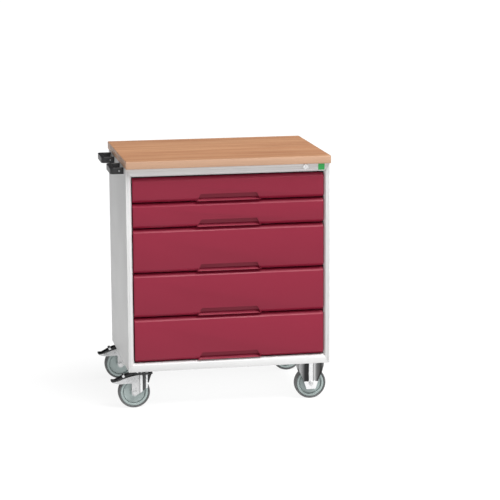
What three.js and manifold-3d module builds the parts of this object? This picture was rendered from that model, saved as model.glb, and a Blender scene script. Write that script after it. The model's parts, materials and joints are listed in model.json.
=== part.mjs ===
// Mobile drawer workbench: a steel cabinet on castors with five drawers and a beech worktop.
// Units are millimetres, +Z is up. The origin is on the floor under the middle of the whole bench.
// The cabinet's own numbers run from its lower front left corner: x to the right, y to the back,
// z up from the floor. A castor's own numbers run from the middle of its axle.
import * as THREE from "three";
import { mergeVertices } from "three/addons/utils/BufferGeometryUtils.js";
import Module from "manifold-3d";

const wasm = await Module();
wasm.setup();

// ---- driving dimensions ----
const BODY = { width: 800, depth: 550, height: 800, bottom: 150 };
const BODY_TOP = BODY.bottom + BODY.height;
const SHEET = 1.5; // steel of the shell and the front frame
const THIN = 1; // steel of the drawer boxes
const GAP = 0.3; // left between pieces that touch
const WORKTOP = { depth: 600, thickness: 30, overhang: 20, edge: 1 };

const LIP = { side: 7.5, top: 12 }; // front lips of the shell
const POST = { face: 16.4, bevel: 6 };
const TOP_RAIL = { face: 24, bevel: 9 };
const BOTTOM_RAIL = { face: 26.5, bevel: 8 };
const FRAME = { bevelDepth: 9, depth: 40 };
const BASE_Z = BODY.bottom + 10 + GAP; // the base panel lies up inside the skirt

const DRAWER = {
  heights: [96, 96, 171, 171, 173.5], // from the top
  gap: 4,
  firstBottom: BODY.bottom + 38,
  side: 25.9, // from the cabinet's side to the front's edge
  depth: 28,
  sheet: 1.5,
  chamferHeight: 12.5,
  chamferDepth: 16,
  edgeWidth: 7,
  edgeDepth: 1,
};
const GRIP = { topWidth: 220, bottomWidth: 250, height: 28, roomHeight: 47 };
const BOX = { side: 34.3, front: 28.3, back: 528.3, lift: 6, headroom: 22, hem: 8 };
const RUNNER = { from: 45, to: 530, bottom: 14, height: 30, x0: 20.6, x1: 32 };

const HANDLE = { length: 140, reach: 52, height: 24, bar: 15, arm: 17, corner: 14, top: 947 };
const HANDLE_SCREW = { radius: 3.6, depth: 5, fromWall: 17 }; // a blind hole in each arm
const HANDLE_MIDDLES = { front: 125, rear: 425 };

const LOCK = { x: 703.5, z: 937, body: 8.5, flange: 10.5, barrel: 7.2, crank: 5, pin: 2 };
const BADGE = { x0: 753, x1: 778, z0: 923, z1: 947 };

const WHEEL = { radius: 62.5, width: 31, rim: 54.5, hub: 35, bore: 5.4 };
const CASTOR_Y = { front: 44.5, rear: 505.5 };
const SWIVEL = { x: 24, trail: 38 };
const FIXED_X = 729;
const MOUNTING_PLATE = { length: 104, width: 80, thickness: 3.8 };
const PEDAL_REACH = 90.5; // from the axle to the pedal's tip
const PEDAL_HALF = 16.5;

const OUTLINE_LEFT = SWIVEL.x - PEDAL_REACH;
const CABINET_ORIGIN = [
  -(OUTLINE_LEFT + BODY.width) / 2,
  WORKTOP.overhang - WORKTOP.depth / 2,
  0,
];

// ---- finishes ----
const finish = (color, roughness, metalness) => ({ color, roughness, metalness });
const LIGHT_GREY = finish(0xe6e6e4, 0.45, 0.1);
const RED = finish(0x9a2338, 0.4, 0.1);
const BEECH = finish(0xc39a74, 0.55, 0);
const BLACK_PLASTIC = finish(0x242424, 0.5, 0);
const GALVANISED = finish(0xb9bbbb, 0.4, 0.9);
const ZINC = finish(0xc9cac9, 0.35, 0.9);
const CHROME = finish(0xe8e8e8, 0.15, 1);
const GREEN = finish(0x35b455, 0.4, 0);
const GREY_PLASTIC = finish(0xa3afad, 0.5, 0);
const GREY_RUBBER = finish(0x5d5f60, 0.8, 0);

// ---- shaping helpers ----
const outline = (points) => new THREE.Shape(points.map(([u, v]) => new THREE.Vector2(u, v)));

// The section of a folded sheet: one face follows the path, the other lies to its left.
function foldedSheet(path, thickness) {
  const points = path.map(([u, v]) => new THREE.Vector2(u, v));
  const normals = points.slice(1).map((point, i) => {
    const along = point.clone().sub(points[i]).normalize();
    return new THREE.Vector2(-along.y, along.x);
  });
  const otherSide = points.map((point, i) => {
    const before = normals[Math.max(i - 1, 0)];
    const after = normals[Math.min(i, normals.length - 1)];
    const mitre = before.clone().add(after);
    return point.clone().addScaledVector(mitre, (2 * thickness) / mitre.lengthSq());
  });
  return new THREE.Shape([...points, ...otherSide.reverse()]);
}

const extrude = (shape, depth) =>
  new THREE.ExtrudeGeometry(shape, { depth, bevelEnabled: false, curveSegments: 4 });

// A section in (y, z), run along X.
function alongX(shape, x0, x1) {
  const turn = new THREE.Matrix4().makeBasis(
    new THREE.Vector3(0, 1, 0),
    new THREE.Vector3(0, 0, 1),
    new THREE.Vector3(1, 0, 0),
  );
  return extrude(shape, x1 - x0).applyMatrix4(turn).translate(x0, 0, 0);
}

// A section in (x, z), run along Y.
function alongY(shape, y0, y1) {
  const turn = new THREE.Matrix4().makeBasis(
    new THREE.Vector3(1, 0, 0),
    new THREE.Vector3(0, 0, 1),
    new THREE.Vector3(0, -1, 0),
  );
  return extrude(shape, y1 - y0).applyMatrix4(turn).translate(0, y1, 0);
}

// A section in (x, y), run along Z.
const alongZ = (shape, z0, z1) => extrude(shape, z1 - z0).translate(0, 0, z0);

const box = (x0, x1, y0, y1, z0, z1) =>
  new THREE.BoxGeometry(x1 - x0, y1 - y0, z1 - z0).translate(
    (x0 + x1) / 2,
    (y0 + y1) / 2,
    (z0 + z1) / 2,
  );

// A bar of round section along Y.
const rodY = (radius, x, z, y0, y1, sides = 24) =>
  new THREE.CylinderGeometry(radius, radius, y1 - y0, sides).translate(x, (y0 + y1) / 2, z);

// A bar of round section along Z.
const rodZ = (radius, x, y, z0, z1, sides = 20) =>
  new THREE.CylinderGeometry(radius, radius, z1 - z0, sides)
    .rotateX(Math.PI / 2)
    .translate(x, y, (z0 + z1) / 2);

// A ring about the Y axis from a closed profile of [radius, y] points.
function ringY(profile, segments) {
  const points = [...profile, profile[0]].map(([r, y]) => new THREE.Vector2(r, y));
  return new THREE.LatheGeometry(points, segments);
}

function solid(geometry) {
  const bare = geometry.clone();
  bare.deleteAttribute("normal");
  bare.deleteAttribute("uv");
  const merged = mergeVertices(bare);
  return new wasm.Manifold(
    new wasm.Mesh({
      numProp: 3,
      vertProperties: new Float32Array(merged.attributes.position.array),
      triVerts: new Uint32Array(merged.index.array),
    }),
  );
}

function geometryOf(body) {
  const mesh = body.getMesh();
  const geometry = new THREE.BufferGeometry();
  geometry.setAttribute("position", new THREE.BufferAttribute(mesh.vertProperties, 3));
  geometry.setIndex(new THREE.BufferAttribute(mesh.triVerts, 1));
  geometry.computeVertexNormals();
  return geometry;
}

const join = (...shapes) => geometryOf(shapes.map(solid).reduce((a, b) => a.add(b)));
const common = (...shapes) => geometryOf(shapes.map(solid).reduce((a, b) => a.intersect(b)));
const cut = (shape, ...tools) =>
  geometryOf(tools.map(solid).reduce((a, b) => a.subtract(b), solid(shape)));

// The same piece on the other side of the cabinet.
function mirrored(geometry, middle = BODY.width / 2) {
  const copy = geometry.clone().translate(-middle, 0, 0).scale(-1, 1, 1).translate(middle, 0, 0);
  const index = copy.index ?? mergeVertices(copy).index;
  const triangles = index.array.slice();
  for (let i = 0; i < triangles.length; i += 3) triangles.subarray(i, i + 3).reverse();
  copy.setIndex(new THREE.BufferAttribute(triangles, 1));
  return copy;
}

function add(group, name, geometry, look) {
  const mesh = new THREE.Mesh(geometry, new THREE.MeshStandardMaterial(look));
  mesh.name = name;
  group.add(mesh);
}

// ---- the steel shell ----
function sidePanel() {
  const path = [
    [0, BODY.depth],
    [0, 0],
    [LIP.side, 0],
  ];
  return alongZ(foldedSheet(path, SHEET), BODY.bottom, BODY_TOP);
}

// The lock's body passes through the lip of the top panel and the rail below it.
const lockHole = () => rodY(LOCK.body + GAP, LOCK.x, LOCK.z, -10, FRAME.depth + 10, 32);

function topPanel() {
  const inside = SHEET + GAP;
  const sheet = box(inside, BODY.width - inside, inside, BODY.depth - 2, BODY_TOP - SHEET, BODY_TOP);
  const lipLeft = LIP.side + GAP;
  const lip = box(lipLeft, BODY.width - lipLeft, 0, inside + 1, BODY_TOP - LIP.top, BODY_TOP);
  const behindLip = box(0, BODY.width, SHEET, inside + 1, 0, BODY_TOP - SHEET);
  return cut(join(sheet, lip), behindLip, lockHole());
}

function basePanel() {
  const inside = SHEET + GAP;
  return box(inside, BODY.width - inside, inside, BODY.depth - 2, BASE_Z, BASE_Z + SHEET);
}

function backPanel() {
  const inside = SHEET + GAP;
  const back = BODY.depth - GAP;
  return box(inside, BODY.width - inside, back - SHEET, back, BODY.bottom, BODY_TOP);
}

// ---- the front frame: four bevelled members that meet in mitres ----
const FRAME_EDGE = { left: LIP.side + GAP, top: BODY_TOP - LIP.top - GAP, bottom: BODY.bottom };
const FACE = {
  left: POST.face,
  top: BODY_TOP - TOP_RAIL.face,
  bottom: BODY.bottom + BOTTOM_RAIL.face,
};
const OPENING = {
  left: POST.face + POST.bevel,
  top: FACE.top - TOP_RAIL.bevel,
  bottom: FACE.bottom + BOTTOM_RAIL.bevel,
};

function framePost() {
  const path = [
    [FRAME_EDGE.left, 0],
    [FACE.left, 0],
    [OPENING.left, FRAME.bevelDepth],
    [OPENING.left, FRAME.depth],
  ];
  const post = alongZ(foldedSheet(path, SHEET), BODY.bottom, BODY_TOP);
  const region = outline([
    [FRAME_EDGE.left, FRAME_EDGE.bottom],
    [FACE.left, FACE.bottom],
    [OPENING.left, OPENING.bottom],
    [OPENING.left, OPENING.top],
    [FACE.left, FACE.top],
    [FRAME_EDGE.left, FRAME_EDGE.top],
  ]);
  return common(post, alongY(region, -1, FRAME.depth + 1));
}

// A rail's ends stand one gap inside the posts' mitres.
function railRegion(edgeZ, faceZ, openingZ) {
  const left = [
    [FRAME_EDGE.left + GAP, edgeZ],
    [FACE.left + GAP, faceZ],
    [OPENING.left + GAP, openingZ],
  ];
  const right = left.map(([x, z]) => [BODY.width - x, z]).reverse();
  return alongY(outline([...left, ...right]), -1, FRAME.depth + 1);
}

function topRail() {
  const path = [
    [FRAME.depth, OPENING.top],
    [FRAME.bevelDepth, OPENING.top],
    [0, FACE.top],
    [0, FRAME_EDGE.top],
  ];
  const rail = alongX(foldedSheet(path.reverse(), SHEET), 0, BODY.width);
  return cut(common(rail, railRegion(FRAME_EDGE.top, FACE.top, OPENING.top)), lockHole());
}

function bottomRail() {
  const path = [
    [FRAME.depth, OPENING.bottom],
    [FRAME.bevelDepth, OPENING.bottom],
    [0, FACE.bottom],
    [0, FRAME_EDGE.bottom],
  ];
  const rail = alongX(foldedSheet(path, SHEET), 0, BODY.width);
  return common(rail, railRegion(FRAME_EDGE.bottom, FACE.bottom, OPENING.bottom));
}

// ---- worktop, handles, badge ----
function worktop() {
  const front = -WORKTOP.overhang;
  const back = front + WORKTOP.depth;
  const bottom = BODY_TOP + GAP;
  const top = BODY_TOP + WORKTOP.thickness;
  const e = WORKTOP.edge;
  const section = outline([
    [front + e, bottom],
    [back - e, bottom],
    [back, bottom + e],
    [back, top - e],
    [back - e, top],
    [front + e, top],
    [front, top - e],
    [front, bottom + e],
  ]);
  return alongX(section, 0, BODY.width);
}

// A U-shaped grab handle: two arms with feet on the side panel and a bar between them.
function grabHandle(middle) {
  const { length, reach, height, bar, arm, corner, top } = HANDLE;
  const half = length / 2;
  const wall = -GAP;
  const outer = new THREE.Shape();
  outer.moveTo(wall, middle - half);
  outer.lineTo(-reach + corner, middle - half);
  outer.absarc(-reach + corner, middle - half + corner, corner, -Math.PI / 2, -Math.PI, true);
  outer.absarc(-reach + corner, middle + half - corner, corner, Math.PI, Math.PI / 2, true);
  outer.lineTo(wall, middle + half);
  const innerCorner = corner / 2;
  const room = new THREE.Shape();
  room.moveTo(10, middle - half + arm);
  room.lineTo(-reach + bar + innerCorner, middle - half + arm);
  room.lineTo(-reach + bar, middle - half + arm + innerCorner);
  room.lineTo(-reach + bar, middle + half - arm - innerCorner);
  room.lineTo(-reach + bar + innerCorner, middle + half - arm);
  room.lineTo(10, middle + half - arm);
  const { radius, depth, fromWall } = HANDLE_SCREW;
  const hole = (y) => rodY(radius, -fromWall, top - height / 2, y, y + depth, 20);
  return cut(
    alongZ(outer, top - height, top),
    alongZ(room, 0, 2 * top),
    hole(middle - half - 0.01),
    hole(middle + half - depth + 0.01),
  );
}

const badgePlate = () => box(BADGE.x0, BADGE.x1, -1 - GAP, -GAP, BADGE.z0, BADGE.z1);

// ---- lock: a barrel with a crank pin that draws the lock bar sideways ----
const LOCK_FRONT = -2 - GAP;
const BARREL_END = 30;
const PIN_END = 38;
const BAR_Y = { from: 33, to: 36 };
const PIN_OFFSET = LOCK.crank * Math.SQRT1_2;

function lockHousing() {
  const profile = [
    [LOCK.barrel + GAP, LOCK_FRONT],
    [LOCK.flange - 1, LOCK_FRONT],
    [LOCK.flange, LOCK_FRONT + 1],
    [LOCK.flange, -GAP],
    [LOCK.body, -GAP],
    [LOCK.body, 24],
    [LOCK.barrel + GAP, 24],
  ];
  return ringY(profile, 20).translate(LOCK.x, 0, LOCK.z);
}

function lockBarrel() {
  const barrel = rodY(LOCK.barrel, LOCK.x, LOCK.z, LOCK_FRONT + GAP, BARREL_END, 32);
  const pinX = LOCK.x + PIN_OFFSET;
  const pinZ = LOCK.z + PIN_OFFSET;
  const pin = rodY(LOCK.pin, pinX, pinZ, BARREL_END - 1, PIN_END, 16);
  const keySlot = box(LOCK.x - 0.7, LOCK.x + 0.7, -10, 8, LOCK.z - 4, LOCK.z + 4);
  return cut(join(barrel, pin), keySlot);
}

function lockBar() {
  const barX = { from: BODY.width - 11, to: BODY.width - 2.3 };
  const { from, to } = BAR_Y;
  const armTop = LOCK.z + LOCK.crank + 5;
  const armBottom = armTop - 12;
  const arm = box(LOCK.x - 4, barX.to, from, to, armBottom, armTop);
  const upright = box(barX.from, barX.to, from, to, DRAWER.firstBottom + 10, armTop);
  const tabs = drawerBottoms().map((z) =>
    box(barX.from, barX.to, from, to + 6, z + RUNNER.bottom, z + RUNNER.bottom + 3),
  );
  const play = LOCK.pin + 0.35;
  const slot = box(
    LOCK.x + PIN_OFFSET - play,
    LOCK.x + PIN_OFFSET + play,
    from - 1,
    to + 1,
    LOCK.z + PIN_OFFSET - play,
    LOCK.z + LOCK.crank + play,
  );
  return cut(join(arm, upright, ...tabs), slot);
}

// ---- drawers ----
// The lower edge of each drawer front, from the top drawer down.
function drawerBottoms() {
  const { heights, gap, firstBottom } = DRAWER;
  return heights.map((_, i) =>
    heights.slice(i + 1).reduce((z, height) => z + height + gap, firstBottom),
  );
}

// A shallow pan of sheet steel with sloping upper and lower edges, a notch in its
// lower edge, and behind the notch a pocket for the fingers.
function drawerFront(bottom, height) {
  const { side, depth, sheet, chamferHeight, chamferDepth, edgeWidth, edgeDepth } = DRAWER;
  const left = side;
  const right = BODY.width - side;
  const up = (points) => outline(points.map(([y, z]) => [y, z + bottom]));
  const outside = up([
    [0, chamferHeight],
    [chamferDepth, 0],
    [depth, 0],
    [depth, height],
    [chamferDepth, height],
    [0, height - chamferHeight],
  ]);
  const slack = sheet / 3;
  const inside = up([
    [sheet, chamferHeight + slack],
    [chamferDepth + slack, sheet],
    [depth + 1, sheet],
    [depth + 1, height - sheet],
    [chamferDepth + slack, height - sheet],
    [sheet, height - chamferHeight - slack],
  ]);
  const edge = (x, inward) =>
    alongZ(
      outline([
        [x - inward, -1],
        [x + inward * edgeWidth, -1],
        [x + inward * edgeWidth, 0],
        [x, edgeDepth],
        [x - inward, edgeDepth],
      ]),
      bottom - 1,
      bottom + height + 1,
    );
  const pan = cut(
    alongX(outside, left, right),
    alongX(inside, left + sheet, right - sheet),
    edge(left, 1),
    edge(right, -1),
  );

  const middle = BODY.width / 2;
  const gripOutline = (wider, low, high) =>
    outline([
      [middle - GRIP.bottomWidth / 2 - wider, bottom + low],
      [middle + GRIP.bottomWidth / 2 + wider, bottom + low],
      [middle + GRIP.topWidth / 2 + wider, bottom + GRIP.height],
      [middle + GRIP.topWidth / 2 + wider, bottom + high],
      [middle - GRIP.topWidth / 2 - wider, bottom + high],
      [middle - GRIP.topWidth / 2 - wider, bottom + GRIP.height],
    ]);
  const pocketSection = up([
    [0.3, 0],
    [3.2, 0],
    [17, 9.9],
    [18.4, GRIP.roomHeight - 0.5],
    [0.8, GRIP.roomHeight + 1.5],
    [0.8, chamferHeight + 0.5],
  ]);
  const roomSection = up([
    [-1, -1],
    [-0.5, -1],
    [15.5, 10.5],
    [17, GRIP.roomHeight - 2],
    [sheet + 0.1, GRIP.roomHeight],
    [sheet + 0.1, GRIP.height],
    [-1, GRIP.height],
  ]);
  const pocket = common(
    alongX(pocketSection, left + 10, right - 10),
    alongY(gripOutline(sheet, 0, GRIP.roomHeight + 2), -1, depth),
  );
  const room = common(
    alongX(roomSection, left + 10, right - 10),
    alongY(gripOutline(0, -1, GRIP.roomHeight + 2), -2, depth),
  );
  return cut(join(pan, pocket), room);
}

function drawerBox(bottom, height) {
  const { side, front, back, lift, headroom, hem } = BOX;
  const fold = 2 * THIN; // the top edges are folded over flat
  const x0 = side;
  const x1 = BODY.width - side;
  const z0 = bottom + lift;
  const z1 = bottom + height - headroom;
  return cut(
    box(x0, x1, front, back, z0, z1),
    box(x0 + THIN, x1 - THIN, front + THIN, back - THIN, z0 + THIN, z1 - hem),
    box(x0 + fold, x1 - fold, front + fold, back - fold, z1 - hem - 1, z1 + 1),
  );
}

// The rail on the drawer's left side: its tongue runs inside the fixed channel.
function drawerRail(bottom) {
  const foot = BOX.side - GAP;
  const tongue = bottom + RUNNER.bottom + RUNNER.height / 2;
  const path = [
    [foot, bottom + RUNNER.bottom + 2],
    [foot, tongue],
    [RUNNER.x0 + 3.6, tongue],
    [RUNNER.x0 + 3.6, tongue + 9],
  ];
  return alongY(foldedSheet(path, SHEET), RUNNER.from, RUNNER.to - 5);
}

// The left runner rack: two upright hat sections that carry five channels.
function runnerRack() {
  const inside = SHEET + GAP;
  const uprights = [60, 470].map((y) => {
    const path = [
      [inside, y - 10],
      [inside, y],
      [RUNNER.x0 - 0.5, y],
      [RUNNER.x0 - 0.5, y + 30],
      [inside, y + 30],
      [inside, y + 40],
    ];
    const hat = foldedSheet(path, -SHEET);
    return alongZ(hat, OPENING.bottom + 2, OPENING.top - 2);
  });
  const channels = drawerBottoms().map((z) => {
    const low = z + RUNNER.bottom;
    const high = low + RUNNER.height;
    const path = [
      [RUNNER.x1, low],
      [RUNNER.x0, low],
      [RUNNER.x0, high],
      [RUNNER.x1, high],
    ];
    return alongY(foldedSheet(path.reverse(), SHEET), RUNNER.from, RUNNER.to);
  });
  return join(...uprights, ...channels);
}

// ---- castors, drawn about the middle of the axle ----
const PLATE_TOP = BASE_Z - GAP - WHEEL.radius;
const PLATE_BOTTOM = PLATE_TOP - MOUNTING_PLATE.thickness;

function rim() {
  const half = WHEEL.hub / 2;
  const nearSide = [
    [WHEEL.bore, -half],
    [13, -half],
    [15.5, -9.5],
    [40, -8],
    [44, -9.5],
    [46, -14],
    [53, -14],
    [WHEEL.rim, -12],
  ];
  const farSide = nearSide.map(([r, y]) => [r, -y]).reverse();
  return ringY([...nearSide, ...farSide], 24);
}

function tyre() {
  const half = WHEEL.width / 2;
  const nearSide = [
    [WHEEL.rim + GAP, -12],
    [56, -half],
    [60, -half],
    [WHEEL.radius, -10],
  ];
  const farSide = nearSide.map(([r, y]) => [r, -y]).reverse();
  return ringY([...nearSide, ...farSide], 40);
}

function axle(plateFace, headLength, headRadius, sides) {
  const head = (y0, y1) => rodY(headRadius, 0, 0, y0, y1, sides);
  const end = plateFace + headLength;
  const from = plateFace + GAP;
  return join(rodY(5, 0, 0, -end, end, 20), head(-end, -from), head(from, end));
}

function mountingPlate(x) {
  const { length, width } = MOUNTING_PLATE;
  return box(x - length / 2, x + length / 2, -width / 2, width / 2, PLATE_BOTTOM, PLATE_TOP);
}

const RACE = { bottom: 83.2, step: 87, radius: 33, foot: 29 };
const HEAD = { bottom: 66, crown: 69.5, top: 82.5, radius: 19.5, bore: 6.3 };
const PIVOT = { x: SWIVEL.trail, z: 76, stud: 3, eye: 6 };

// The plate that is bolted under the cabinet, with the upper race and the kingpin.
function castorPlate() {
  const x = SWIVEL.trail;
  return join(
    mountingPlate(x),
    rodZ(RACE.radius, x, 0, RACE.step, PLATE_BOTTOM + 1),
    rodZ(RACE.foot, x, 0, RACE.bottom, RACE.step + 1),
    rodZ(HEAD.bore - GAP, x, 0, 61, RACE.bottom + 1, 24),
    rodZ(9, x, 0, 61, HEAD.bottom - GAP, 24),
  );
}

// A pressed fork: ribbed cheeks beside the wheel, a wing over it, and the swivel head.
function castorFork() {
  const cheekInner = 18;
  const cheekSection = foldedSheet(
    [
      [-100, cheekInner],
      [19, cheekInner],
      [23, cheekInner + 3.5],
      [32, cheekInner + 3.5],
      [36, cheekInner],
      [43, cheekInner],
      [47, cheekInner + 3.5],
      [52, cheekInner + 3.5],
    ],
    3,
  );
  const cheek = alongZ(cheekSection, -20, HEAD.crown);
  const otherCheek = cheek.clone().rotateX(Math.PI).translate(0, 0, HEAD.crown - 20);
  const side = new THREE.Shape();
  side.moveTo(52, HEAD.crown);
  side.lineTo(52, 19);
  side.lineTo(43, 14);
  side.lineTo(32, 5);
  side.lineTo(11, -9.5);
  side.absarc(1.5, -2, 12, -0.67, -Math.PI, true);
  side.lineTo(-10.5, 34);
  side.quadraticCurveTo(-10.5, 37.5, -14, 37.5);
  side.lineTo(-61, 36);
  side.lineTo(-70, 38.5);
  side.lineTo(-86, 42.5);
  side.lineTo(-86, 44.5);
  side.lineTo(-71, 43);
  side.splineThru([
    new THREE.Vector2(-42, 56.5),
    new THREE.Vector2(-17, 64),
    new THREE.Vector2(8, 68.5),
  ]);
  side.lineTo(24, HEAD.crown);
  const profile = alongY(side, -30, 30);
  const bridge = join(
    box(16, 52, -19, 19, HEAD.bottom, HEAD.crown),
    box(49, 52, -19, 19, 45, HEAD.crown),
    rodZ(HEAD.radius, PIVOT.x, 0, HEAD.bottom, HEAD.top),
    rodY(PIVOT.stud, PIVOT.x, PIVOT.z, -29, 29, 16),
  );
  return cut(
    join(common(cheek, profile), common(otherCheek, profile), bridge),
    rodZ(HEAD.bore, PIVOT.x, 0, 0, 100, 24),
    rodY(5.3, 0, 0, -40, 40, 20),
  );
}

// The foot pedal: a curved tread above the wheel, on two straps that turn on the head's studs.
function brakePedal() {
  const tread = new THREE.Shape();
  tread.moveTo(-PEDAL_REACH, 46.5);
  tread.lineTo(2 - PEDAL_REACH, 50);
  tread.lineTo(-76, 49.5);
  tread.lineTo(-66, 54);
  tread.lineTo(-54, 61);
  tread.lineTo(-40, 68);
  tread.lineTo(-22, 74);
  tread.lineTo(-6, 77);
  tread.lineTo(10, 78);
  tread.lineTo(10, 72.5);
  tread.lineTo(2, 71.5);
  tread.splineThru([
    new THREE.Vector2(-17, 66.5),
    new THREE.Vector2(-35, 61.5),
    new THREE.Vector2(-51, 55.5),
    new THREE.Vector2(-63, 49.5),
    new THREE.Vector2(-73, 44.5),
  ]);
  tread.lineTo(-86, 43.8);
  const outerY = 26.5;
  const innerY = 23.5;
  const strap = (y0, y1) =>
    join(box(4, 58, y0, y1, 72.5, 78), rodY(PIVOT.eye, PIVOT.x, PIVOT.z, y0, y1, 24));
  return cut(
    join(
      alongY(tread, -PEDAL_HALF, PEDAL_HALF),
      box(4, 10, -outerY, outerY, 72.5, 78),
      strap(-outerY, -innerY),
      strap(innerY, outerY),
    ),
    rodY(PIVOT.stud + GAP, PIVOT.x, PIVOT.z, -40, 40, 16),
  );
}

// The release toe plate on the other end of the straps.
function brakeRelease() {
  const block = box(58 + GAP, 72, -26.5, 26.5, 72.5, 79);
  const web = outline([
    [58 + GAP, 78],
    [71, 78],
    [71, 70],
    [66, 58],
    [58.5, 34],
    [55, 34],
    [54.8, 57],
    [58 + GAP, 65],
  ]);
  return join(block, alongY(web, -9, 9));
}

// A pressed bracket: a top plate and two ribbed legs that narrow towards the axle.
function castorBracket() {
  const half = [
    [16, -22],
    [19, -20],
    [32, 19],
    [45, 47],
    [52, 73],
    [52, PLATE_BOTTOM + 1],
  ];
  const legOutline = [...half, ...half.map(([x, z]) => [-x, z]).reverse()];
  const pocket = [
    [8, 9],
    [24, 9],
    [41, 49],
    [47, 74],
    [47, PLATE_BOTTOM - 2],
    [8, PLATE_BOTTOM - 2],
  ];
  const pockets = [pocket, pocket.map(([x, z]) => [-x, z])];
  const faceY = { inner: 19, sheet: 22, outer: 27 };
  const legs = [1, -1].map((sign) => {
    const span = (a, b) => (sign > 0 ? [a, b] : [-b, -a]);
    return cut(
      alongY(outline(legOutline), ...span(faceY.inner, faceY.outer)),
      ...pockets.map((shape) => alongY(outline(shape), ...span(faceY.sheet, 40))),
      box(-5, 5, ...span(faceY.inner - 1, faceY.outer - 3), 12, PLATE_BOTTOM - 2),
    );
  });
  return cut(join(mountingPlate(0), ...legs), rodY(5.3, 0, 0, -40, 40, 20));
}

// ---- assembly ----
const bench = new THREE.Group();
const cabinet = new THREE.Group();
cabinet.position.set(...CABINET_ORIGIN);
bench.add(cabinet);

add(cabinet, "side_panel_left", sidePanel(), LIGHT_GREY);
add(cabinet, "side_panel_right", mirrored(geometryOf(solid(sidePanel()))), LIGHT_GREY);
add(cabinet, "top_panel", topPanel(), LIGHT_GREY);
add(cabinet, "base_panel", basePanel(), LIGHT_GREY);
add(cabinet, "back_panel", backPanel(), LIGHT_GREY);
add(cabinet, "frame_post_left", framePost(), LIGHT_GREY);
add(cabinet, "frame_post_right", mirrored(framePost()), LIGHT_GREY);
add(cabinet, "frame_rail_top", topRail(), LIGHT_GREY);
add(cabinet, "frame_rail_bottom", bottomRail(), LIGHT_GREY);
add(cabinet, "worktop", worktop(), BEECH);
for (const [place, middle] of Object.entries(HANDLE_MIDDLES))
  add(cabinet, "grab_handle_" + place, grabHandle(middle), BLACK_PLASTIC);
add(cabinet, "badge_plate", badgePlate(), GREEN);
add(cabinet, "lock_housing", lockHousing(), CHROME);
add(cabinet, "lock_barrel", lockBarrel(), CHROME);
add(cabinet, "lock_bar", lockBar(), GALVANISED);
add(cabinet, "runner_rack_left", runnerRack(), GALVANISED);
add(cabinet, "runner_rack_right", mirrored(runnerRack()), GALVANISED);

drawerBottoms().forEach((bottom, i) => {
  const height = DRAWER.heights[i];
  const number = i + 1;
  const rail = geometryOf(solid(drawerRail(bottom)));
  add(cabinet, "drawer_front_" + number, drawerFront(bottom, height), RED);
  add(cabinet, "drawer_box_" + number, drawerBox(bottom, height), LIGHT_GREY);
  add(cabinet, "drawer_rail_left_" + number, rail, GALVANISED);
  add(cabinet, "drawer_rail_right_" + number, mirrored(rail), GALVANISED);
});

for (const [place, y] of Object.entries(CASTOR_Y)) {
  const swivel = new THREE.Group();
  swivel.position.set(SWIVEL.x, y, WHEEL.radius);
  cabinet.add(swivel);
  const left = place + "_left";
  add(swivel, "castor_plate_" + left, castorPlate(), ZINC);
  add(swivel, "castor_fork_" + left, castorFork(), ZINC);
  add(swivel, "brake_pedal_" + left, brakePedal(), BLACK_PLASTIC);
  add(swivel, "brake_release_" + left, brakeRelease(), BLACK_PLASTIC);
  add(swivel, "castor_axle_" + left, axle(21, 3, 8, 24), ZINC);
  add(swivel, "wheel_rim_" + left, rim(), GREY_PLASTIC);
  add(swivel, "tyre_" + left, tyre(), GREY_RUBBER);

  const fixed = new THREE.Group();
  fixed.position.set(FIXED_X, y, WHEEL.radius);
  cabinet.add(fixed);
  const right = place + "_right";
  add(fixed, "castor_bracket_" + right, castorBracket(), ZINC);
  add(fixed, "castor_axle_" + right, axle(27, 5, 9, 6), ZINC);
  add(fixed, "wheel_rim_" + right, rim(), GREY_PLASTIC);
  add(fixed, "tyre_" + right, tyre(), GREY_RUBBER);
}

export default bench;
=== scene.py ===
# %% [markdown]
# # A drawer workbench on castors
# This lesson dresses a finished workshop bench: a light grey steel cabinet with five crimson
# drawers, a beech top, two black grab handles and four castors. The solids come from a packed
# CAD model and never move. Blender could model everything again from nothing, but then sizes and
# joints might drift, so each visible piece starts from the CAD box or the CAD mesh it stands for.

import json
from math import pi, radians, sqrt

import bmesh
import bpy
from mathutils import Matrix, Vector


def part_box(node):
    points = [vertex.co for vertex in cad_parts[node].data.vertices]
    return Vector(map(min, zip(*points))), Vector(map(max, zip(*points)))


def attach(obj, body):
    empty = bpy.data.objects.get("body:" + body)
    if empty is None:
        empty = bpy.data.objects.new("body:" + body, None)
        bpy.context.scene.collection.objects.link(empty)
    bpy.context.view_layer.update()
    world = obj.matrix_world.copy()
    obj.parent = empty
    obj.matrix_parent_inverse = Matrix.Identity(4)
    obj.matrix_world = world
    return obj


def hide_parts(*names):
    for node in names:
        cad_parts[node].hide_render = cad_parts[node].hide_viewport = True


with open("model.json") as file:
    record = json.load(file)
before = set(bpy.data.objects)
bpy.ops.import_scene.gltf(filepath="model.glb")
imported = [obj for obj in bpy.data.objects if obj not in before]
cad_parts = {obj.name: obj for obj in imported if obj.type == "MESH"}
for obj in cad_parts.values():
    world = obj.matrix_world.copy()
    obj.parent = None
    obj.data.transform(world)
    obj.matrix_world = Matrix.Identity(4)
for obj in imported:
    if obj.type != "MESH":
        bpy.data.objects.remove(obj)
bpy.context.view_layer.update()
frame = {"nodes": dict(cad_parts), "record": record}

# %% [markdown]
# ## The camera
# A long lens from seven and a half metres keeps the cabinet's edges almost parallel. The camera
# could aim with a constraint, but three axes written straight into its matrix say the same thing
# with nothing left live: where it looks, what is up, and what is right.

# %% Camera
CAMERA_PLACE = Vector((-1.265, -7.642, 2.063))
CAMERA_LOOK = Vector((0.1809, 0.9650, -0.1896))
CAMERA_TOP = Vector((0.0400, 0.1854, 0.9818))
LENS = 141.26

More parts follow.
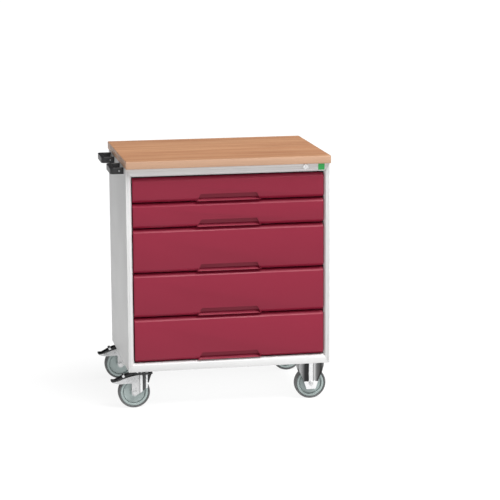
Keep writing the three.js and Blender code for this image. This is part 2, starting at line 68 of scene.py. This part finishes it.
camera_data = bpy.data.cameras.new("camera")
camera_data.lens = LENS
camera = bpy.data.objects.new("camera", camera_data)
forward = CAMERA_LOOK.normalized()
rightward = forward.cross(CAMERA_TOP).normalized()
upward = rightward.cross(forward)
turn = Matrix((rightward, upward, -forward)).transposed().to_4x4()
camera.matrix_world = Matrix.Translation(CAMERA_PLACE) @ turn
bpy.context.scene.collection.objects.link(camera)
bpy.context.scene.camera = camera
print("camera looks along", tuple(round(x, 3) for x in forward))

# %% [markdown]
# ## Shader arithmetic
# A material is a graph, and wiring every sum by hand hides the idea. This class wraps one socket
# so that `1 - speckle * 0.2` adds its Math nodes by itself. Colours don't go through it, because
# a Math node turns a colour grey: they are mixed by the Finish class in the next cell.

# %% Values that vary over a surface
class Value:
    """A socket that carries numbers. Arithmetic on it adds Math nodes."""

    def __init__(self, tree, socket):
        self.tree = tree
        self.socket = socket

    def math(self, operation, *numbers, clamp=False):
        node = self.tree.nodes.new("ShaderNodeMath")
        node.operation = operation
        node.use_clamp = clamp
        for socket, number in zip(node.inputs, numbers):
            if isinstance(number, Value):
                self.tree.links.new(number.socket, socket)
            else:
                socket.default_value = number
        return Value(self.tree, node.outputs[0])

    def __add__(self, other):
        return self.math("ADD", self, other)

    def __sub__(self, other):
        return self.math("SUBTRACT", self, other)

    def __rsub__(self, other):
        return self.math("SUBTRACT", other, self)

    def __mul__(self, other):
        return self.math("MULTIPLY", self, other)

    __radd__ = __add__
    __rmul__ = __mul__

    def above(self, edge):
        """1 where the value is over the edge, and 0 elsewhere."""
        return self.math("GREATER_THAN", self, edge)

    def clipped(self):
        """The value kept between 0 and 1."""
        return self.math("ADD", self, 0.0, clamp=True)


# %% [markdown]
# ## Finishes as objects
# Every finish is one Principled shader with detail fed into its colour, roughness and normal.
# What is the same all over the piece is set on the shader's own sockets. What varies is built
# from Object coordinates, which are metres here, so a texture scale reads as "features a metre".

# %% A small material builder
class Finish:
    """A material being made: one Principled shader and the nodes that feed it."""

    def __init__(self, name, **constants):
        self.material = bpy.data.materials.new(name)
        self.material.use_nodes = True
        self.tree = self.material.node_tree
        self.shader = self.tree.nodes["Principled BSDF"]
        for word, number in constants.items():
            self.shader.inputs[word.replace("_", " ")].default_value = number

    def node(self, kind, settings=None, output=0, **inputs):
        """Adds any node: settings first, then socket values or links."""
        node = self.tree.nodes.new(kind)
        for word, setting in (settings or {}).items():
            setattr(node, word, setting)
        for word, value in inputs.items():
            key = int(word[1:]) if word[0] == "_" else word.replace("_", " ")
            self.link(value, node.inputs[key])
        return Value(self.tree, node.outputs[output])

    def link(self, value, socket):
        if isinstance(value, Value):
            self.tree.links.new(value.socket, socket)
        else:
            socket.default_value = value

    def place(self, stretch=(1, 1, 1)):
        """Object coordinates, stretched along each axis."""
        where = self.node("ShaderNodeTexCoord", output=3)
        return self.node("ShaderNodeMapping", Vector=where, Scale=stretch)

    def noise(self, scale, detail=3.0, roughness=0.5, stretch=(1, 1, 1), distortion=0.0):
        return self.node(
            "ShaderNodeTexNoise", Vector=self.place(stretch), Scale=scale, Detail=detail,
            Roughness=roughness, Distortion=distortion,
        )

    def ramp(self, value, *stops):
        """Maps a value along a straight line between two (position, brightness) stops."""
        node = self.tree.nodes.new("ShaderNodeMapRange")
        node.clamp = True
        (low, dark), (high, light) = stops
        for socket, number in zip(node.inputs[1:5], (low, high, dark, light)):
            socket.default_value = number
        self.link(value, node.inputs[0])
        return Value(self.tree, node.outputs[0])

    def mix(self, factor, first, second, blend="MIX"):
        """A colour between two colours, by a factor that may vary."""
        return self.node(
            "ShaderNodeMix", {"data_type": "RGBA", "blend_type": blend}, output=2,
            _0=factor, _6=first, _7=second,
        )

    def bump(self, height, depth):
        """Raises the surface where the height is 1, by a depth in metres."""
        return self.node("ShaderNodeBump", Height=height, Distance=depth, Strength=1.0)

    def across(self, axis):
        """One coordinate of the surface, in metres."""
        return self.node("ShaderNodeSeparateXYZ", output=axis, Vector=self.place())

    def stops(self, value, brightness):
        """A grey that runs through (position, brightness) stops as the value grows."""
        node = self.tree.nodes.new("ShaderNodeValToRGB")
        ramp = node.color_ramp
        while len(ramp.elements) < len(brightness):
            ramp.elements.new(0.5)
        for element, (position, level) in zip(ramp.elements, brightness):
            element.position = position
            element.color = (level, level, level, 1)
        self.link(value, node.inputs[0])
        return Value(self.tree, node.outputs[0])

    def set(self, **varying):
        for word, value in varying.items():
            self.link(value, self.shader.inputs[word.replace("_", " ")])
        return self.material


def shade(colour, factor):
    """A colour made lighter or darker, with its alpha kept."""
    return (*(min(1.0, c * factor) for c in colour[:3]), 1.0)


print("material builder ready")

# %% [markdown]
# ## Powder coat
# The cabinet and the drawers are powder coated: paint baked from dust, which leaves a fine
# orange-peel skin. A glossy flat colour would look like plastic film. Two sizes of noise make the
# skin, a broad one drifts the tone a little, and a third varies the gloss where hands have been.

# %% Powder coat
def powder_coat(name, colour, roughness, ior=1.5, peel=0.00003, drift=0.025):
    coat = Finish(name, Metallic=0.0, IOR=ior, Coat_Weight=0.0)
    broad = coat.noise(2.6, detail=2.0)
    cloudy = coat.ramp(broad, (0.3, 0.0), (0.7, 1.0))
    tone = coat.mix(cloudy, shade(colour, 1 - drift), shade(colour, 1 + drift))
    skin = coat.noise(620, detail=2.0, roughness=0.6)
    pores = coat.noise(2100, detail=1.0)
    hands = coat.noise(9.0, detail=4.0, roughness=0.6)
    gloss = coat.ramp(hands, (0.35, roughness - 0.05), (0.7, roughness + 0.06))
    surface = skin * 0.75 + pores * 0.25
    return coat.set(Base_Color=tone, Roughness=gloss, Normal=coat.bump(surface, peel))


SHELL_COLOUR = (0.70, 0.70, 0.697, 1)
DRAWER_COLOUR = (0.255, 0.012, 0.037, 1)
BOX_COLOUR = (0.64, 0.64, 0.635, 1)
shell_paint = powder_coat("shell_paint", SHELL_COLOUR, 0.46, ior=1.40)
drawer_paint = powder_coat("drawer_paint", DRAWER_COLOUR, 0.46, ior=1.36)
box_paint = powder_coat("drawer_box_paint", BOX_COLOUR, 0.5)
print("powder coats:", shell_paint.name, drawer_paint.name, box_paint.name)

# %% [markdown]
# ## Beech multiplex
# The top is a glued stack of beech veneers. Seen from above it has long, quiet grain with the
# short dark flecks that mark beech. Seen from its edge it shows the plies as fine lines. One
# material can do both, because the plies are layers in height: a wave along Z only shows on faces
# that stand upright, and the height that it reads is the same all over the flat face.

# %% Beech
PALE = (0.610, 0.340, 0.192, 1)
WARM = (0.440, 0.205, 0.108, 1)
HEART = (0.225, 0.088, 0.045, 1)
SAWN = (0.66, 0.45, 0.32, 1)
PLIES = 17
GRAIN_DEPTH = 0.00012
# Painted shade: brightness stops from the front of the top to its back, darkest at the front.
FRONT_TO_BACK = ((0.0, 0.84), (0.5, 0.98), (1.0, 1.0))


def beech(node):
    """Beech for a top that fills the box of one CAD node."""
    low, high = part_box(node)
    wood = Finish("beech", Metallic=0.0, IOR=1.34)
    grain = wood.noise(1, detail=7.0, roughness=0.62, stretch=(1.5, 30, 30), distortion=0.25)
    streak = wood.noise(1, detail=5.0, roughness=0.7, stretch=(2.6, 120, 120))
    fleck = wood.noise(1, detail=2.0, stretch=(55, 480, 480))
    patch = wood.noise(1, detail=2.0, stretch=(1.2, 6, 6))
    base = wood.mix(wood.ramp(grain, (0.36, 0.0), (0.64, 1.0)), WARM, PALE)
    banded = wood.mix(wood.ramp(streak, (0.36, 0.60), (0.60, 0.0)), base, HEART)
    dark_flecks = wood.ramp(fleck, (0.63, 0.0), (0.72, 0.55))
    flecked = wood.mix(dark_flecks, banded, HEART)
    toned = wood.mix(wood.ramp(patch, (0.3, 0.0), (0.7, 0.35)), flecked, shade(PALE, 0.93))

    height = high.z - low.z
    split = wood.node("ShaderNodeSeparateXYZ", output=2, Vector=wood.place())
    wobble = wood.noise(9, detail=2.0, stretch=(1, 1, 0.1)) * (0.18 * height / PLIES)
    layer = (split + wobble - low.z) * (PLIES / height)
    turn_of_ply = layer.math("FRACT", layer)
    line = wood.ramp(turn_of_ply, (0.82, 0.0), (0.93, 1.0))
    cross = layer.math("PINGPONG", layer, 1.0)
    upright = wood.node("ShaderNodeNewGeometry", output=1)
    flat = wood.node("ShaderNodeSeparateXYZ", output=2, Vector=upright)
    edge_only = 1 - flat.math("ABSOLUTE", flat).above(0.6)
    sawn = wood.mix(edge_only * 0.6, toned, SAWN)
    plied = wood.mix(cross * 0.3 * edge_only, sawn, WARM)
    lined = wood.mix(line * 0.4 * edge_only, plied, HEART)
    # Painted shade: the flat faces are darkened towards the front edge; the upright edges are
    # left out.
    depth = (wood.across(1) - low.y) * (1 / (high.y - low.y))
    painted_front_shade = wood.stops(depth, FRONT_TO_BACK)
    lined = wood.mix(1 - edge_only, lined, painted_front_shade, "MULTIPLY")
    gloss = wood.ramp(grain, (0.3, 0.52), (0.7, 0.4))
    relief = grain * 0.6 + fleck * 0.4
    return wood.set(Base_Color=lined, Roughness=gloss, Normal=wood.bump(relief, GRAIN_DEPTH))


beech_finish = beech("worktop")
top_low, top_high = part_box("worktop")
print("beech made for a top", round(top_high.z - top_low.z, 4), "m thick")

# %% [markdown]
# ## Metals and plastics
# Bright zinc on pressed steel, spangled galvanised runners, a polished lock, moulded black nylon,
# the blue-grey wheel discs and their rubber tyres. Each could be a plain colour, but a pressed
# part has a faint haze, a moulded one a fine grain, and a tyre the matt skin of its mould.

# %% Metals
PRESSED_SPAN = 0.120


def zinc_plate(name, tone_and_painted_reflection, middle=None, painted_bright_below=None, bare=1.0):
    """Bright zinc. Its tone follows stops across a pressed part, from the part's middle;
    where the stops vary they paint its reflections, light ribs and dark hollows.

    Below the height given for the foot it is painted bright, a painted highlight. Less than 1 for
    bare makes it a dull zinc.
    """
    metal = Finish(name, Metallic=bare)
    haze = metal.noise(45, detail=4.0, roughness=0.65)
    drawn = metal.noise(240, detail=2.0, stretch=(1, 1, 0.12))
    tone = metal.mix(metal.ramp(haze, (0.3, 0.0), (0.7, 1.0)), (0.86, 0.87, 0.88, 1),
                     (1.0, 1.0, 1.0, 1))
    # Painted reflections: tone stops laid across the pressing by x paint light ribs and dark
    # hollows.
    streak = (metal.across(0) - (middle.x if middle else 0)) * (1 / PRESSED_SPAN) + 0.5
    shades = metal.stops(streak + (haze - 0.5) * 0.02, tone_and_painted_reflection)
    # Painted highlight: below the given height the foot is painted bright.
    if painted_bright_below is not None:
        foot = metal.ramp(metal.across(2), (painted_bright_below, 1.0), (painted_bright_below + 0.002, 0.0))
        shades = metal.mix(foot, shades, (0.92, 0.92, 0.92, 1))
    tone = metal.mix(1.0, tone, shades, "MULTIPLY")
    gloss = metal.ramp(haze, (0.3, 0.20), (0.7, 0.34)) + drawn * 0.05
    return metal.set(Base_Color=tone, Roughness=gloss, Normal=metal.bump(drawn, 0.00003))


def galvanised():
    metal = Finish("galvanised_steel", Metallic=1.0)
    spangle = metal.node("ShaderNodeTexVoronoi", Vector=metal.place(), Scale=110.0)
    flake = metal.noise(70, detail=2.0)
    tone = metal.mix(metal.ramp(spangle, (0.0, 0.0), (0.7, 1.0)), (0.50, 0.52, 0.54, 1),
                     (0.66, 0.67, 0.68, 1))
    gloss = metal.ramp(flake, (0.3, 0.28), (0.7, 0.5))
    return metal.set(Base_Color=tone, Roughness=gloss, Normal=metal.bump(spangle, 0.00002))


def polished_chrome():
    metal = Finish("lock_chrome", Metallic=0.6)
    smear = metal.noise(400, detail=3.0)
    tone = metal.mix(smear, (0.84, 0.85, 0.86, 1), (0.94, 0.94, 0.94, 1))
    return metal.set(Base_Color=tone, Roughness=metal.ramp(smear, (0.3, 0.16), (0.7, 0.28)))


EVEN = ((0, 0.72), (1, 0.72))
castor_zinc = zinc_plate("castor_zinc", EVEN)
runner_steel = galvanised()
lock_chrome = polished_chrome()
print("metals:", castor_zinc.name, runner_steel.name, lock_chrome.name)


# %% Plastics and rubber
def moulded(name, colour, roughness, grain=900, depth=0.00004, drift=0.08):
    plastic = Finish(name, Metallic=0.0, IOR=1.48)
    cloud = plastic.noise(30, detail=3.0)
    skin = plastic.noise(grain, detail=2.0, roughness=0.6)
    tone = plastic.mix(plastic.ramp(cloud, (0.3, 0.0), (0.7, 1.0)), shade(colour, 1 - drift),
                       shade(colour, 1 + drift))
    gloss = plastic.ramp(skin, (0.3, roughness - 0.06), (0.7, roughness + 0.08))
    return plastic.set(Base_Color=tone, Roughness=gloss, Normal=plastic.bump(skin, depth))


black_plastic = moulded("black_plastic", (0.016, 0.016, 0.017, 1), 0.42)
rim_plastic = moulded("rim_plastic", (0.37, 0.435, 0.425, 1), 0.42, drift=0.03)
grey_rubber = moulded("grey_tyre", (0.125, 0.127, 0.128, 1), 0.62, grain=600, depth=0.00008)
badge_green = moulded("badge_green", (0.025, 0.45, 0.09, 1), 0.3, drift=0.04)
print("plastics:", black_plastic.name, rim_plastic.name, grey_rubber.name, badge_green.name)

# %% [markdown]
# ## Turning shapes into pieces
# A piece is a mesh that rides on a body of the frame and may hide the CAD node whose place it
# takes. Parenting by hand would do, but then a missed line leaves a piece behind when a drawer
# opens, so one function does all of it every time.

# %% From shape to piece
BODY_OF = {
    node: body
    for body, nodes in frame["record"]["behaviour"]["bodies"].items()
    for node in nodes
}
SLOT_OF = {part["node"]: part["material_slot"] for part in frame["record"]["subparts"]}
FOLD_ANGLE = radians(24)


def put(name, shape, finish, body, stands_for=(), crease=32):
    """Makes a bmesh a finished piece that moves with a body."""
    mesh = bpy.data.meshes.new(name)
    shape.to_mesh(mesh)
    shape.free()
    mesh.shade_smooth()
    mesh.set_sharp_from_angle(angle=radians(crease))
    mesh.materials.append(finish)
    piece = bpy.data.objects.new(name, mesh)
    bpy.context.scene.collection.objects.link(piece)
    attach(piece, body)
    if stands_for:
        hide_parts(*stands_for)
    return piece


def stand_in(node, shape, finish, crease=32):
    """A finer piece in place of one CAD node, on the same body."""
    return put(node + "_fine", shape, finish, BODY_OF[node], [node], crease)


def folded_copy(node, radius, segments=2):
    """The CAD node's own shape, welded and with its folds rounded to a radius."""
    shape = bmesh.new()
    shape.from_mesh(frame["nodes"][node].data)
    bmesh.ops.remove_doubles(shape, verts=shape.verts, dist=0.00001)
    bmesh.ops.dissolve_limit(
        shape, angle_limit=radians(0.5), verts=shape.verts, edges=shape.edges
    )
    folds = [
        edge for edge in shape.edges
        if edge.is_manifold and edge.calc_face_angle() > FOLD_ANGLE
    ]
    bmesh.ops.bevel(
        shape, geom=folds, offset=radius, segments=segments, profile=0.5,
        affect="EDGES", clamp_overlap=True, material=-1,
    )
    return shape


def rounded(node, radius, finish, segments=2):
    """A CAD node's own shape, rounded, in place of the node."""
    return stand_in(node, folded_copy(node, radius, segments), finish)


print("slots to dress:", len(set(SLOT_OF.values())))

# %% [markdown]
# ## Rounding sheet metal
# Folded steel has no knife edges: each bend has a small radius that catches a line of light. The
# CAD shapes have the right folds but sharp ones. They could take a Bevel modifier, but their mesh
# is loose triangles, so a copy is welded first and its folds are rounded there.

# %% Cabinet shell, drawers and runners
BEND = {
    "shell_paint": (0.0006, shell_paint),
    "drawer_paint": (0.0008, drawer_paint),
    "drawer_box_paint": (0.0003, box_paint),
    "galvanised_steel": (0.0004, runner_steel),
}
for node, slot in SLOT_OF.items():
    if slot in BEND:
        rounded(node, *BEND[slot])
print("folded pieces:", sum(slot in BEND for slot in SLOT_OF.values()))

# %% [markdown]
# ## The worktop
# A slab of multiplex with its edges eased by a sander. A cube scaled to the CAD box and bevelled
# is all it takes: the wood comes from the material.


# %% Worktop
def block(low, high, radius, segments=3):
    """A cuboid between two corners with rounded edges."""
    low, high = Vector(low), Vector(high)
    shape = bmesh.new()
    bmesh.ops.create_cube(shape, size=1.0)
    bmesh.ops.scale(shape, vec=high - low, verts=shape.verts)
    bmesh.ops.translate(shape, vec=(low + high) / 2, verts=shape.verts)
    bmesh.ops.bevel(
        shape, geom=shape.edges[:], offset=radius, segments=segments, profile=0.5,
        affect="EDGES", clamp_overlap=True, material=-1,
    )
    return shape


TOP_EDGE = 0.0016
stand_in("worktop", block(top_low, top_high, TOP_EDGE), beech_finish)
print("worktop", [round(x, 3) for x in (top_high - top_low)])

# %% [markdown]
# ## Round parts by spinning
# Wheels are turned shapes: a profile spun about the axle. A cylinder with loops cut in would take
# longer and never be as round. The profile is written once for one side and mirrored, because a
# wheel is the same from both sides.


# %% Spun rings
def spun(profile, centre, steps=96):
    """A closed (radius, y) profile turned about an axle along Y."""
    shape = bmesh.new()
    corners = [shape.verts.new((r, y, 0)) for r, y in profile]
    edges = [
        shape.edges.new(pair) for pair in zip(corners, corners[1:] + corners[:1])
    ]
    bmesh.ops.spin(
        shape, geom=corners + edges, cent=(0, 0, 0), axis=(0, 1, 0), angle=2 * pi,
        steps=steps, use_merge=True,
    )
    bmesh.ops.remove_doubles(shape, verts=shape.verts, dist=0.00001)
    bmesh.ops.recalc_face_normals(shape, faces=shape.faces)
    bmesh.ops.translate(shape, vec=centre, verts=shape.verts)
    return shape


def both_sides(near):
    """A profile given for the near side, continued down the far side."""
    return near + [(r, -y) for r, y in reversed(near)]


MM = 0.001
RIM_NEAR = [
    (5.4, -17.5), (11.6, -17.5), (12.8, -16.9), (13.4, -15.2), (14.4, -11.6), (16.8, -9.7),
    (22, -8.9), (32, -8.3), (40, -8.2), (41.2, -8.4), (41.9, -4.6), (44.2, -4.6), (44.9, -13.2),
    (46.0, -14.3), (51.4, -14.3), (53.4, -13.6), (54.3, -12.4), (54.5, -11),
]
TYRE_NEAR = [
    (54.8, -11), (54.8, -12.4), (55.6, -14.4), (56.8, -15.4), (58.6, -15.5), (60.4, -15),
    (61.6, -13.8), (62.3, -11.6), (62.5, -8.6), (62.5, -0.6), (62.4, 0),
]


def wheel(place):
    """The disc and the tyre of one castor."""
    low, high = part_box("tyre_" + place)
    centre = (low + high) / 2
    rim_profile = both_sides([(r * MM, y * MM) for r, y in RIM_NEAR])
    tyre_profile = both_sides([(r * MM, y * MM) for r, y in TYRE_NEAR])
    stand_in("wheel_rim_" + place, spun(rim_profile, centre), rim_plastic, 40)
    stand_in("tyre_" + place, spun(tyre_profile, centre), grey_rubber, 50)
    return centre


PLACES = ("front_left", "rear_left", "front_right", "rear_right")
AXLE = {place: wheel(place) for place in PLACES}
print("axles at", {p: tuple(round(x, 4) for x in c) for p, c in AXLE.items()})

# %% [markdown]
# ## Castor metalwork
# Forks, brackets and plates are pressed steel, so their corners are rounder than a folded
# panel's. The same welded copy does it with a larger radius. Bright pressed steel mirrors
# whatever is near it, and here those reflections are painted into its tone: the ribs and the
# foot are painted light, and the hollows between them are painted nearly black. The painted tone
# is laid across each pressing by its x, measured from the axle, so these painted reflections stay
# put in any light.

# %% Painted reflections on the pressings
# Painted reflections: tone stops across a fork cheek and a V bracket, light on the ribs and
# nearly black in the hollows.
CHEEK_PAINTED_REFLECTION = (
    (0.0, 0.62), (0.66, 0.64), (0.685, 0.34), (0.695, 0.88), (0.755, 0.90), (0.775, 0.07),
    (0.865, 0.10), (0.885, 0.90), (0.95, 0.94),
)
BRACKET_PAINTED_REFLECTION = (
    (0.05, 0.10), (0.12, 0.45), (0.20, 0.28), (0.30, 0.04), (0.425, 0.03), (0.437, 0.88),
    (0.56, 0.90), (0.575, 0.18), (0.62, 0.62), (0.70, 0.16), (0.85, 0.04), (0.90, 0.20),
)


# Height above the axle below which the bracket foot is painted bright, a painted highlight.
FOOT_RISE = 0.008


# The fork cheeks' zinc, with painted reflections.
def fork_finish_with_painted_reflection(place):
    return zinc_plate("fork_zinc_painted_reflection_" + place, CHEEK_PAINTED_REFLECTION, AXLE[place], bare=0.45)


# The brackets' zinc, with painted reflections and a foot painted bright.
def bracket_finish_with_painted_reflection(place):
    foot_top = AXLE[place].z + FOOT_RISE
    return zinc_plate("bracket_zinc_painted_reflection_" + place, BRACKET_PAINTED_REFLECTION, AXLE[place], foot_top)


print("streaks:", len(CHEEK_PAINTED_REFLECTION), "and", len(BRACKET_PAINTED_REFLECTION), "stops")

# %% Forks, brackets, plates, pedals
LEFT = ("front_left", "rear_left")
RIGHT = ("front_right", "rear_right")
for place in PLACES:
    rounded("castor_axle_" + place, 0.0005, castor_zinc)
for place in LEFT:
    rounded("castor_fork_" + place, 0.0008, fork_finish_with_painted_reflection(place))
    rounded("castor_plate_" + place, 0.0008, castor_zinc)
    rounded("brake_pedal_" + place, 0.0012, black_plastic, 3)
    rounded("brake_release_" + place, 0.0015, black_plastic, 3)
for place in RIGHT:
    rounded("castor_bracket_" + place, 0.0015, bracket_finish_with_painted_reflection(place), 3)
print("castors dressed:", len(PLACES))

# %% [markdown]
# ## Fasteners
# Nuts on the axles, bolts through the castor plates, screws in the handles' ends and along the
# back. Each could be a dent in the paint, but heads stand proud and catch light, so they are
# turned or cut to six sides and rounded.


# %% Heads and nuts
HEAD_EDGE = 0.0004


def hex_head(across_flats, thick):
    """A six-sided head standing on the XY plane."""
    shape = bmesh.new()
    bmesh.ops.create_cone(
        shape, cap_ends=True, segments=6, depth=thick,
        radius1=across_flats / sqrt(3), radius2=across_flats / sqrt(3),
    )
    bmesh.ops.translate(shape, vec=(0, 0, thick / 2), verts=shape.verts)
    bmesh.ops.bevel(
        shape, geom=shape.edges[:], offset=HEAD_EDGE, segments=2, profile=0.5,
        affect="EDGES", material=-1,
    )
    return shape


def screw_head(radius, thick, socket):
    """A low round head with a socket, standing on the XY plane."""
    profile = [
        (0, 0), (radius, 0), (radius, thick * 0.55), (radius * 0.9, thick * 0.85),
        (radius * 0.7, thick), (socket, thick), (socket * 0.95, thick * 0.3), (0, thick * 0.3),
    ]
    shape = spun(profile, Vector((0, 0, 0)), 32)
    bmesh.ops.rotate(shape, matrix=Matrix.Rotation(radians(90), 3, "X"), verts=shape.verts)
    return shape


def fasten(name, shape, foot, outwards, node):
    """Stands a head on its foot point, looking outwards, on the body of a CAD node."""
    turn = outwards.to_track_quat("Z", "Y").to_matrix().to_4x4()
    bmesh.ops.transform(shape, matrix=Matrix.Translation(foot) @ turn, verts=shape.verts)
    return put(name, shape, castor_zinc, BODY_OF[node])


FRONT, BACK, DOWN = Vector((0, -1, 0)), Vector((0, 1, 0)), Vector((0, 0, -1))
NUT_FACE = {"left": 0.0243, "right": 0.0320}
NUT = {"across_flats": 0.0105, "thick": 0.0035}
for place in PLACES:
    reach = NUT_FACE[place.split("_")[1]]
    for facing, word in ((FRONT, "near"), (BACK, "far")):
        fasten(
            f"axle_nut_{place}_{word}", hex_head(**NUT), AXLE[place] + facing * reach, facing,
            "castor_axle_" + place,
        )
print("axle nuts:", 2 * len(PLACES))

# %% [markdown]
# Four bolts hold each castor's plate, near its corners, with their heads below. They are hidden
# behind the skirt until the bench is seen from low down. A pattern baked into the plate would do
# from the front, but a loop costs no more.

# %% Castor plate bolts
PLATE_BOLTS = [(sx * 0.043, sy * 0.031) for sx in (-1, 1) for sy in (-1, 1)]
PLATE_DROP = 0.0041
BOLT = {"across_flats": 0.011, "thick": 0.0045}
for place in PLACES:
    node = ("castor_plate_" if place.endswith("left") else "castor_bracket_") + place
    low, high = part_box(node)
    middle = (low + high) / 2
    for i, (dx, dy) in enumerate(PLATE_BOLTS):
        foot = Vector((middle.x + dx, middle.y + dy, high.z - PLATE_DROP))
        fasten(f"plate_bolt_{place}_{i}", hex_head(**BOLT), foot, DOWN, node)
print("plate bolts:", len(PLACES) * len(PLATE_BOLTS))

# %% [markdown]
# A screw sits sunk in each end of a handle, and two columns of them hold the back panel. The
# handle's holes are in the CAD, so its screws only need a place a little way down the hole.

# %% Handle and back panel screws
HANDLE_SCREW = {"radius": 0.0033, "thick": 0.0028, "socket": 0.0016}
HOLE_FROM_WALL = 0.0167
SUNK = 0.0048
for place in ("front", "rear"):
    node = "grab_handle_" + place
    low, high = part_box(node)
    for facing, y, word in ((FRONT, low.y, "near"), (BACK, high.y, "far")):
        mouth = Vector((high.x - HOLE_FROM_WALL, y, (low.z + high.z) / 2))
        fasten(
            f"handle_screw_{place}_{word}", screw_head(**HANDLE_SCREW),
            mouth - facing * SUNK, facing, node,
        )
BACK_SCREW = {"radius": 0.0042, "thick": 0.0020, "socket": 0.0019}
BACK_ROWS = 5
FROM_SIDE, FROM_END = 0.012, 0.06
low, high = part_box("back_panel")
row_step = (high.z - low.z - 2 * FROM_END) / (BACK_ROWS - 1)
for row in range(BACK_ROWS):
    for side, x in (("left", low.x + FROM_SIDE), ("right", high.x - FROM_SIDE)):
        foot = Vector((x, high.y, low.z + FROM_END + row * row_step))
        fasten(f"back_screw_{side}_{row}", screw_head(**BACK_SCREW), foot, BACK, "back_panel")
print("back screw rows:", BACK_ROWS)

# %% [markdown]
# A bright spring clip is bent over each pedal, about half way along. It could be a lighter patch
# of the pedal, but it is another metal and stands out on all sides, so it is a rounded block that
# leans with the tread.

# %% Pedal clips
CLIP_PLACE = Vector((-0.042, 0, 0.0665))
CLIP_HALF = Vector((0.005, 0.0172, 0.00575))
CLIP_EDGE = 0.0012
CLIP_TILT = radians(-26)
for place in LEFT:
    shape = block(-CLIP_HALF, CLIP_HALF, CLIP_EDGE)
    bmesh.ops.rotate(shape, matrix=Matrix.Rotation(CLIP_TILT, 3, "Y"), verts=shape.verts)
    bmesh.ops.translate(shape, vec=AXLE[place] + CLIP_PLACE, verts=shape.verts)
    put("pedal_clip_" + place, shape, castor_zinc, BODY_OF["brake_pedal_" + place])
print("pedal clips:", len(LEFT))

# %% Handles, lock and badge
for place in ("front", "rear"):
    rounded("grab_handle_" + place, 0.003, black_plastic, 4)
for node, finish in (
    ("lock_housing", lock_chrome), ("lock_barrel", lock_chrome), ("badge_plate", badge_green),
):
    rounded(node, 0.0003, finish)
print("small parts dressed")

# %% [markdown]
# ## Floor and light
# The bench stands on a white floor that glows from inside, like a sheet of opal glass lit from
# below, so it stays white and takes only a faint shadow. A lamp under a glass plate would do the
# same, but its light would be noisier. The floor runs far enough back to be the background.

# %% Floor
FLOOR_RADIUS = 90.0
GLOW = 0.89


def flat_disc(name, radius, finish):
    """A round sheet lying on the ground."""
    shape = bmesh.new()
    bmesh.ops.create_circle(shape, cap_ends=True, segments=96, radius=radius)
    mesh = bpy.data.meshes.new(name)
    shape.to_mesh(mesh)
    shape.free()
    mesh.materials.append(finish)
    disc = bpy.data.objects.new(name, mesh)
    bpy.context.scene.collection.objects.link(disc)
    return disc


floor_white = Finish("floor_white", Roughness=0.9, Emission_Strength=GLOW)
floor_cloud = floor_white.noise(0.7, detail=2.0)
floor_white.set(
    Base_Color=floor_white.mix(floor_cloud, (0.10, 0.10, 0.10, 1), (0.12, 0.12, 0.12, 1)),
    Emission_Color=floor_white.mix(floor_cloud, (0.99, 0.99, 0.99, 1), (1, 1, 1, 1)),
)
flat_disc("floor", FLOOR_RADIUS, floor_white.material)
print("floor laid, glow", GLOW)

# %% [markdown]
# One broad lamp stands high at the front right, and a weak one low in front fills the shade
# under the top. The sky is dim overhead and on the left, where the cabinet's side falls to half
# the brightness of its front, and bright behind, where the top and the steel parts mirror it. An
# even sky would leave the cabinet without shape. Looked at directly, the sky is plain white.

# %% Light
KEY = 5.0
KEY_FROM = Vector((0.45, -0.38, 1.28))
FILL = 0.85
FILL_FROM = Vector((0.05, -1.0, 0.16))

world = bpy.data.worlds.new("studio")
world.use_nodes = True
sky_tree = world.node_tree
sky = sky_tree.nodes["Background"]
where = sky_tree.nodes.new("ShaderNodeTexCoord")
parts = sky_tree.nodes.new("ShaderNodeSeparateXYZ")
sky_tree.links.new(where.outputs["Generated"], parts.inputs[0])
across, behind, height = (Value(sky_tree, socket) for socket in parts.outputs)
low_sky = (1 - height.math("ABSOLUTE", height) * 2.2).clipped()
back_glow = (behind * 0.8 + across * 0.8 + 0.1).clipped() * low_sky
brightness = back_glow * 0.8 + 0.045
seen = Value(sky_tree, sky_tree.nodes.new("ShaderNodeLightPath").outputs["Is Camera Ray"])
sky_tree.links.new((brightness + seen).socket, sky.inputs["Strength"])
bpy.context.scene.world = world


def lamp(name, power, place, width):
    """A broad lamp far away, shining from a direction."""
    data = bpy.data.lights.new(name, "SUN")
    data.energy = power
    data.angle = radians(width)
    light = bpy.data.objects.new(name, data)
    light.matrix_world = place.to_track_quat("Z", "Y").to_matrix().to_4x4()
    bpy.context.scene.collection.objects.link(light)


lamp("key", KEY, KEY_FROM, 40)
lamp("fill", FILL, FILL_FROM, 60)
bpy.context.scene.view_settings.view_transform = "Standard"
print("key lamp", KEY)
